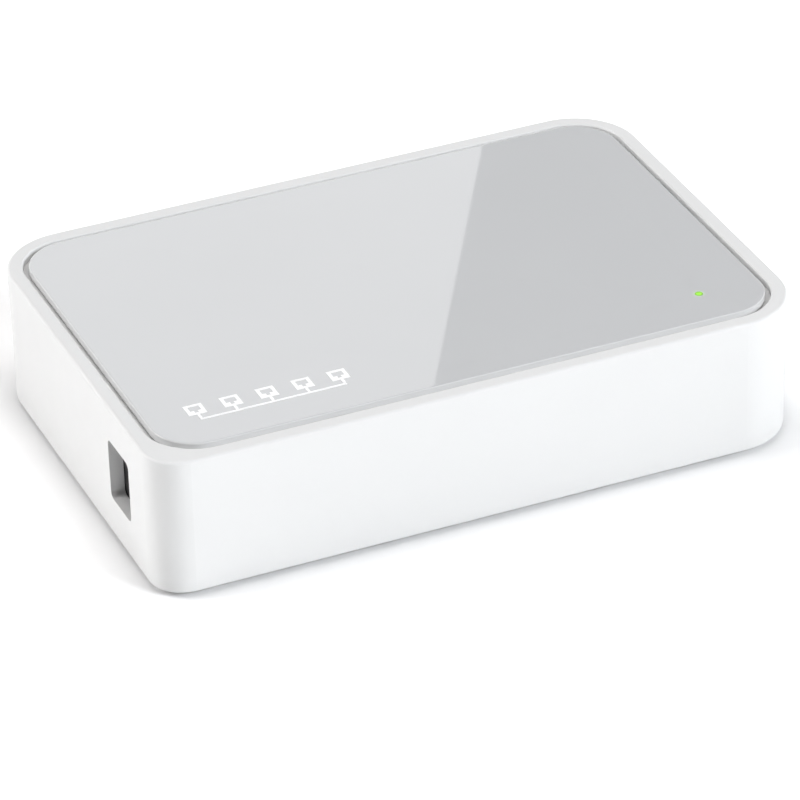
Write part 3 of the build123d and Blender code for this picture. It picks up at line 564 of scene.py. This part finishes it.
def board_laminate():
    """Green solder mask over raised tracks, with bare glass-epoxy at the cut edges."""
    material, tree, shader = new_material("board_laminate")
    cloud = spread(tree, noise(tree, size=5.0, detail=3.0), 0, 1)
    tracks = board_tracks(tree)
    mask = blend_colours(tree, cloud, *MASK_GREENS)
    mask = blend_colours(tree, tracks, mask, MASK_OVER_COPPER)
    edge = maths(tree, "LESS_THAN", maths(tree, "ABSOLUTE", facing_up(tree)), BOARD_FLAT)
    tree.links.new(blend_colours(tree, edge, mask, GLASS_EPOXY), shader.inputs["Base Color"])
    gloss = spread(tree, edge, MASK_ROUGHNESS, CUT_ROUGHNESS, 0, 1)
    tree.links.new(gloss, shader.inputs["Roughness"])
    bump(tree, shader, tracks, depth=0.02)
    return material


def board_tracks(tree):
    """Straight copper tracks, running one way in some fields of the board and across in the others."""
    lines = []
    for axis, pitch in TRACK_PITCHES.items():
        wave = ripple(tree, axis, pitch, wave_profile="TRI")
        lines.append(maths(tree, "GREATER_THAN", wave, TRACK_EDGE))
    fields = add_node(tree, "ShaderNodeTexVoronoi", distance="CHEBYCHEV")
    fields.inputs["Scale"].default_value = 1 / (TRACK_FIELD * MM)
    tree.links.new(place(tree), fields.inputs["Vector"])
    pick = maths(tree, "GREATER_THAN", axis_value(tree, "X", fields.outputs["Color"]), 0.5)
    other = maths(tree, "SUBTRACT", 1.0, pick)
    first = maths(tree, "MULTIPLY", lines[0], pick)
    return maths(tree, "ADD", first, maths(tree, "MULTIPLY", lines[1], other))


def capacitor_sleeve(node):
    """Dark blue shrink sleeve with one pale stripe and a bare aluminium top."""
    material, tree, shader = new_material(f"{node}_sleeve")
    low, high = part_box(node)
    centre = (low + high) / 2
    radius = (high.x - low.x) / 2
    cloud = spread(tree, noise(tree, size=2.0, detail=3.0), 0, 1)
    sleeve = blend_colours(tree, cloud, *SLEEVE_BLUES)
    beside = maths(tree, "SUBTRACT", axis_value(tree, "Y"), centre.y)
    stripe = maths(tree, "LESS_THAN", beside, -radius * STRIPE_START)
    sleeve = blend_colours(tree, stripe, sleeve, SLEEVE_STRIPE)
    inside = maths(tree, "LESS_THAN", distance_from(tree, centre.x, centre.y), radius * CAN_TOP)
    above = maths(tree, "GREATER_THAN", axis_value(tree, "Z"), high.z - CAN_TOP_DEPTH)
    bare = maths(tree, "MULTIPLY", inside, above)
    colour = blend_colours(tree, bare, sleeve, CAN_ALUMINIUM)
    tree.links.new(colour, shader.inputs["Base Color"])
    tree.links.new(bare, shader.inputs["Metallic"])
    gloss = spread(tree, bare, SLEEVE_ROUGHNESS, CAN_ROUGHNESS, 0, 1)
    tree.links.new(gloss, shader.inputs["Roughness"])
    bump(tree, shader, noise(tree, size=0.5, detail=3.0), depth=0.003)
    return material


def print_ink(name, colour):
    """Pad-printed ink, with a slightly uneven film."""
    return mottled(name, colour, cloudiness=0.01,
                   roughness=0.32, patch=3.0, grain=0.2, depth=0.0006)[0]


def light_centre():
    """The middle of the power light, from its guide."""
    low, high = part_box("light_guide")
    return (low + high) / 2


def finish_nodes():
    """Gives every CAD node its real finish."""
    white, black, carrier, rubber = white_abs(), black_nylon(), carrier_nylon(), soft_rubber()
    gold, nickel, tin, epoxy = gold_flash(), nickel_plate(), tinned_metal(), chip_epoxy()
    lens = green_lens()
    finishes = {
        "top_cover": white,
        "base_cover": white,
        "top_panel": panel_gloss(),
        "panel_adhesive": adhesive_film(),
        "light_guide": lit_guide(),
        "rating_label": label_film(),
        "circuit_board": board_laminate(),
        "board_screws": zinc_plate(),
        "port_housing": black,
        "port_terminals": gold,
        "port_lamps": lens,
        "inlet_body": black,
        "inlet_pin": nickel,
        "inlet_lug": nickel,
        "inlet_spring": nickel,
        "switch_chip": epoxy,
        "switch_chip_leads": tin,
        "regulator_chip": epoxy,
        "regulator_leads": tin,
        "input_diode": epoxy,
        "input_fuse": fuse_coat(),
        "coil_pack_leads": tin,
        "capacitor_leads": tin,
        "crystal_can": drawn_can(),
        "choke_core": ferrite(),
        "choke_winding": enamelled_copper(),
        "power_lamp": lens,
        "chip_resistors": resistor_glaze(),
        "chip_capacitors": ceramic(),
    }
    families = {
        "foot_": rubber,
        "contact_carrier_": carrier,
        "port_contacts_": gold,
        "coil_pack_": epoxy,
    }
    for name, node in nodes.items():
        finish = finishes.get(name)
        if finish is None and name.endswith("_capacitor"):
            finish = capacitor_sleeve(name)
        if finish is None:
            finish = [family for start, family in families.items() if name.startswith(start)][0]
        node.data.materials.clear()
        node.data.materials.append(finish)


# ---- Modelling by hand ----
BAR_CORNER = 0.35          # share of a bar's narrow side that its corners are rounded by
BAR_SEGMENTS = 4


def deselect_all():
    bpy.ops.object.select_all(action="DESELECT")


def keep_place(piece):
    """Moves the piece's place into its mesh, so that its object sits at the origin."""
    deselect_all()
    piece.select_set(True)
    bpy.context.view_layer.objects.active = piece
    bpy.ops.object.transform_apply(location=True, rotation=True, scale=True)


def join_pieces(pieces, name):
    """Joins pieces into one, under a name."""
    deselect_all()
    for piece in pieces:
        piece.select_set(True)
    bpy.context.view_layer.objects.active = pieces[0]
    bpy.ops.object.join()
    joined = bpy.context.object
    joined.name = joined.data.name = name
    return joined


def settle(piece, material, body="housing"):
    """Finishes a piece: its material, and the body that carries it."""
    piece.data.materials.clear()
    piece.data.materials.append(material)
    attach(piece, body)


def choose_faces(piece, wanted):
    """In edit mode, selects the faces whose centre passes a test."""
    bpy.ops.object.mode_set(mode="EDIT")
    bpy.ops.mesh.select_mode(type="FACE")
    bpy.ops.mesh.select_all(action="DESELECT")
    bpy.ops.object.mode_set(mode="OBJECT")
    for face in piece.data.polygons:
        face.select = wanted(face)
    bpy.ops.object.mode_set(mode="EDIT")


def raise_ink(piece, thickness):
    """Extrudes a flat print straight up by the film's thickness."""
    bpy.ops.object.mode_set(mode="EDIT")
    bpy.ops.mesh.select_all(action="SELECT")
    bpy.ops.mesh.extrude_region_move(TRANSFORM_OT_translate={"value": (0, 0, thickness)})
    bpy.ops.mesh.select_all(action="SELECT")
    bpy.ops.mesh.normals_make_consistent(inside=False)
    bpy.ops.object.mode_set(mode="OBJECT")


def print_bar(centre, length, width):
    """A printed bar with rounded ends."""
    deselect_all()
    bpy.ops.mesh.primitive_plane_add(size=1, location=centre)
    bar = bpy.context.object
    bar.scale = (length, width, 1)
    keep_place(bar)
    bpy.ops.object.mode_set(mode="EDIT")
    bpy.ops.mesh.select_all(action="SELECT")
    bpy.ops.mesh.bevel(offset=min(length, width) * BAR_CORNER, segments=BAR_SEGMENTS,
                       affect="VERTICES")
    bpy.ops.object.mode_set(mode="OBJECT")
    return bar


# ---- Panel mark: five socket outlines joined to one line ----
MARK_X, MARK_Y = -29.7 * MM, -22.6 * MM
MARK_PITCH = 5.55 * MM
MARK_CELL = 0.56 * MM      # a socket outline is five cells wide and five cells high
MARK_CELLS = 5
MARK_LINE = 0.45 * MM
MARK_STEM = 1.15 * MM
WHITE_INK = (0.95, 0.95, 0.95)
INK = 0.02 * MM


def socket_outline(centre):
    """A square frame whose opening has a latch notch, like a socket seen from the front."""
    deselect_all()
    bpy.ops.mesh.primitive_grid_add(x_subdivisions=MARK_CELLS, y_subdivisions=MARK_CELLS, size=1,
                                    location=centre)
    outline = bpy.context.object
    outline.scale = (MARK_CELL * MARK_CELLS, MARK_CELL * MARK_CELLS, 1)
    keep_place(outline)

    def in_opening(face):
        column = round((face.center.x - centre.x) / MARK_CELL)
        row = round((face.center.y - centre.y) / MARK_CELL)
        return (abs(column) <= 1 and row in (0, 1)) or (column == 0 and row == -1)

    choose_faces(outline, in_opening)
    bpy.ops.mesh.delete(type="FACE")
    bpy.ops.object.mode_set(mode="OBJECT")
    return outline


def add_panel_mark():
    """Five sockets, each on a stem, over one long line."""
    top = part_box("top_panel")[1].z
    stem_top = MARK_Y - MARK_CELL * MARK_CELLS / 2
    line_y = stem_top - MARK_STEM - MARK_LINE / 2
    marks = []
    for number in range(PORT_COUNT):
        x = MARK_X + (number - (PORT_COUNT - 1) / 2) * MARK_PITCH
        stem = Vector((x, stem_top - MARK_STEM / 2, top))
        marks.append(socket_outline(Vector((x, MARK_Y, top))))
        marks.append(print_bar(stem, MARK_LINE, MARK_STEM))
    length = MARK_PITCH * (PORT_COUNT - 1) + MARK_LINE
    marks.append(print_bar(Vector((MARK_X, line_y, top)), length, MARK_LINE))
    mark = join_pieces(marks, "panel_mark")
    raise_ink(mark, INK)
    settle(mark, print_ink("white_ink", WHITE_INK))


# ---- Port numbers on the back wall ----
NUMERAL_HEIGHT = 2.3 * MM
NUMERAL_FILM = 0.02 * MM
NUMERAL_TURN = (math.radians(90), 0, math.radians(180))     # upright, facing backwards
GREY_INK = (0.20, 0.21, 0.22)


def add_port_numbers():
    """Numerals 1 to 5 on the back wall, halfway between each socket and the rim."""
    back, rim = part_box("top_cover")[1].yz
    height = (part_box("port_housing")[1].z + rim) / 2
    numerals = []
    for number in range(1, PORT_COUNT + 1):
        low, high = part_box(f"contact_carrier_{number}")
        deselect_all()
        middle = ((low.x + high.x) / 2, back - NUMERAL_FILM, height)
        bpy.ops.object.text_add(location=middle, rotation=NUMERAL_TURN)
        numeral = bpy.context.object
        numeral.data.body = str(number)
        numeral.data.size = NUMERAL_HEIGHT
        numeral.data.align_x, numeral.data.align_y = "CENTER", "CENTER"
        numeral.data.extrude = NUMERAL_FILM
        bpy.ops.object.convert(target="MESH")
        keep_place(bpy.context.object)
        numerals.append(bpy.context.object)
    piece = join_pieces(numerals, "port_numbers")
    settle(piece, print_ink("grey_ink", GREY_INK))


# ---- Label print under the base ----
LABEL_MARGIN = 1.6 * MM
LABEL_LINE = 0.22 * MM
LABEL_FILM = 0.012 * MM
LABEL_ROWS = 3
LABEL_BITE = 1.2           # the print is this much thicker than its film, to sink into the sticker
LABEL_INK = (0.12, 0.12, 0.13)


def add_label_rules():
    """A blank ruled frame on the sticker."""
    low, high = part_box("rating_label")
    bottom = low.z - LABEL_FILM
    centre = (low + high) / 2
    width = high.x - low.x - 2 * LABEL_MARGIN
    depth = high.y - low.y - 2 * LABEL_MARGIN
    rules = []
    for row in range(LABEL_ROWS + 1):
        y = centre.y - depth / 2 + depth * row / LABEL_ROWS
        rules.append(print_bar(Vector((centre.x, y, bottom)), width + LABEL_LINE, LABEL_LINE))
    for x in (centre.x - width / 2, centre.x + width / 2):
        rules.append(print_bar(Vector((x, centre.y, bottom)), LABEL_LINE, depth + LABEL_LINE))
    piece = join_pieces(rules, "label_rules")
    raise_ink(piece, LABEL_FILM * LABEL_BITE)
    settle(piece, print_ink("label_ink", LABEL_INK))


add_world()
camera = add_camera()
add_floor()
add_softboxes()
add_sheen_card(camera)
bpy.context.scene.view_settings.view_transform = "Standard"

finish_nodes()
add_panel_mark()
add_port_numbers()
add_label_rules()
